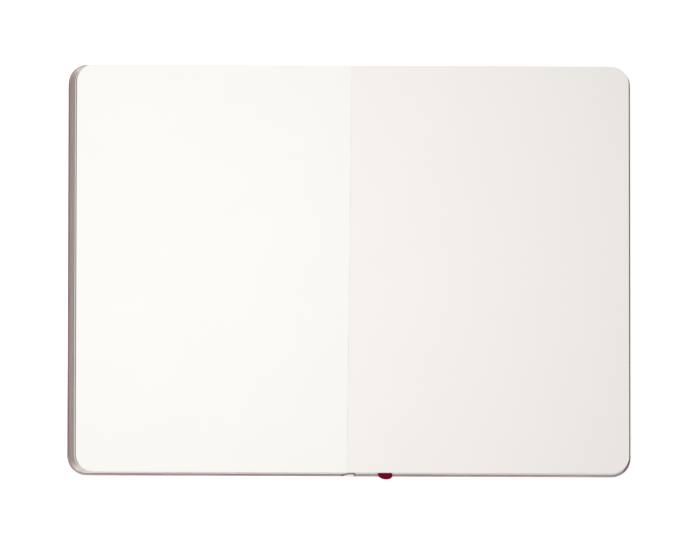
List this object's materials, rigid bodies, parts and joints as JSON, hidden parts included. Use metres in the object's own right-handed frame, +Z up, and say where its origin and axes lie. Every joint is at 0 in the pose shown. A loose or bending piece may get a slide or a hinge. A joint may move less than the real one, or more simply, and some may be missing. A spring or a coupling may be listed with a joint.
{
  "type": "sketchbook",
  "caption": "Thread-sewn sketchbook with a soft cover, rounded corners and a ribbon marker, lying open flat at the middle opening.",
  "frame": {"origin": "on the surface that the open book lies on, midway across the two covers and midway between head and tail", "axes": "+X across the spread towards the right-hand (back cover) fore-edge, +Y along the gutter towards the head, +Z up out of the open pages"},
  "size_m": [0.2872, 0.2139, 0.0088],
  "materials": {
    "cover_skin": "wine-red leatherette with a fine grain",
    "cover_card": "uncoated grey card",
    "drawing_paper": "uncoated off-white drawing paper with a light tooth",
    "endpaper": "uncoated off-white endpaper",
    "spine_lining": "open-weave cotton mull",
    "sewing_thread": "twisted linen thread",
    "ribbon": "raspberry satin ribbon"
  },
  "bodies": {
    "back_cover": {"back_cover_skin": "cover_skin", "back_cover_card": "cover_card", "back_pastedown": "endpaper", "back_spine_skin": "cover_skin", "back_spine_lining": "spine_lining", "centre_stitch_1": "sewing_thread", "centre_stitch_2": "sewing_thread", "centre_stitch_3": "sewing_thread", "centre_stitch_4": "sewing_thread", "centre_stitch_5": "sewing_thread"},
    "front_cover": {"front_cover_skin": "cover_skin", "front_cover_card": "cover_card", "front_pastedown": "endpaper", "front_spine_skin": "cover_skin", "front_spine_lining": "spine_lining"},
    "spine_fold": {"spine_fold_skin": "cover_skin"},
    "front_flyleaf": {"front_flyleaf": "endpaper"},
    "section_1": {"section_1": "drawing_paper"},
    "section_2": {"section_2": "drawing_paper"},
    "section_3": {"section_3": "drawing_paper"},
    "leaf_left_4": {"leaf_left_4": "drawing_paper"},
    "leaf_left_3": {"leaf_left_3": "drawing_paper"},
    "leaf_left_2": {"leaf_left_2": "drawing_paper"},
    "leaf_left_1": {"leaf_left_1": "drawing_paper"},
    "back_flyleaf": {"back_flyleaf": "endpaper"},
    "section_7": {"section_7": "drawing_paper"},
    "section_6": {"section_6": "drawing_paper"},
    "section_5": {"section_5": "drawing_paper"},
    "leaf_right_4": {"leaf_right_4": "drawing_paper"},
    "leaf_right_3": {"leaf_right_3": "drawing_paper"},
    "leaf_right_2": {"leaf_right_2": "drawing_paper"},
    "leaf_right_1": {"leaf_right_1": "drawing_paper"},
    "ribbon": {"ribbon_marker": "ribbon"}
  },
  "joints": [
    {"name": "front_cover_fold", "type": "hinge", "parent": "back_cover", "child": "front_cover", "pos_m": [0, 0, 0.00882], "axis": [0, 1, 0], "range_deg": [0, 180]},
    {"name": "spine_bend", "type": "hinge", "parent": "back_cover", "child": "spine_fold", "pos_m": [0, 0, 0.00882], "axis": [0, 1, 0], "range_deg": [0, 90]},
    {"name": "front_flyleaf_turn", "type": "hinge", "parent": "front_cover", "child": "front_flyleaf", "pos_m": [0.00135, 0, 0.00882], "axis": [0, -1, 0], "range_deg": [-180, 0]},
    {"name": "section_1_turn", "type": "hinge", "parent": "front_flyleaf", "child": "section_1", "pos_m": [0.00135, 0, 0.00882], "axis": [0, -1, 0], "range_deg": [-180, 0]},
    {"name": "section_2_turn", "type": "hinge", "parent": "section_1", "child": "section_2", "pos_m": [0.00135, 0, 0.00882], "axis": [0, -1, 0], "range_deg": [-180, 0]},
    {"name": "section_3_turn", "type": "hinge", "parent": "section_2", "child": "section_3", "pos_m": [0.00135, 0, 0.00882], "axis": [0, -1, 0], "range_deg": [-180, 0]},
    {"name": "leaf_left_4_turn", "type": "hinge", "parent": "section_3", "child": "leaf_left_4", "pos_m": [0.00135, 0, 0.00882], "axis": [0, -1, 0], "range_deg": [-180, 0]},
    {"name": "leaf_left_3_turn", "type": "hinge", "parent": "leaf_left_4", "child": "leaf_left_3", "pos_m": [0.00135, 0, 0.00882], "axis": [0, -1, 0], "range_deg": [-180, 0]},
    {"name": "leaf_left_2_turn", "type": "hinge", "parent": "leaf_left_3", "child": "leaf_left_2", "pos_m": [0.00135, 0, 0.00882], "axis": [0, -1, 0], "range_deg": [-180, 0]},
    {"name": "leaf_left_1_turn", "type": "hinge", "parent": "leaf_left_2", "child": "leaf_left_1", "pos_m": [0.00135, 0, 0.00882], "axis": [0, -1, 0], "range_deg": [-180, 0]},
    {"name": "back_flyleaf_turn", "type": "hinge", "parent": "back_cover", "child": "back_flyleaf", "pos_m": [0.00135, 0, 0.00882], "axis": [0, 1, 0], "range_deg": [-180, 0]},
    {"name": "section_7_turn", "type": "hinge", "parent": "back_flyleaf", "child": "section_7", "pos_m": [0.00135, 0, 0.00882], "axis": [0, 1, 0], "range_deg": [-180, 0]},
    {"name": "section_6_turn", "type": "hinge", "parent": "section_7", "child": "section_6", "pos_m": [0.00135, 0, 0.00882], "axis": [0, 1, 0], "range_deg": [-180, 0]},
    {"name": "section_5_turn", "type": "hinge", "parent": "section_6", "child": "section_5", "pos_m": [0.00135, 0, 0.00882], "axis": [0, 1, 0], "range_deg": [-180, 0]},
    {"name": "leaf_right_4_turn", "type": "hinge", "parent": "section_5", "child": "leaf_right_4", "pos_m": [0.00135, 0, 0.00882], "axis": [0, 1, 0], "range_deg": [-180, 0]},
    {"name": "leaf_right_3_turn", "type": "hinge", "parent": "leaf_right_4", "child": "leaf_right_3", "pos_m": [0.00135, 0, 0.00882], "axis": [0, 1, 0], "range_deg": [-180, 0]},
    {"name": "leaf_right_2_turn", "type": "hinge", "parent": "leaf_right_3", "child": "leaf_right_2", "pos_m": [0.00135, 0, 0.00882], "axis": [0, 1, 0], "range_deg": [-180, 0]},
    {"name": "leaf_right_1_turn", "type": "hinge", "parent": "leaf_right_2", "child": "leaf_right_1", "pos_m": [0.00135, 0, 0.00882], "axis": [0, 1, 0], "range_deg": [-180, 0]},
    {"name": "ribbon_swing", "type": "hinge", "parent": "section_5", "child": "ribbon", "pos_m": [0.00635, 0.104, 0.00718], "axis": [0, 0, 1], "range_deg": [-3, 30]}
  ],
  "couplings": [
    {"joint": "spine_bend", "follows": "front_cover_fold", "ratio": 0.5}
  ]
}
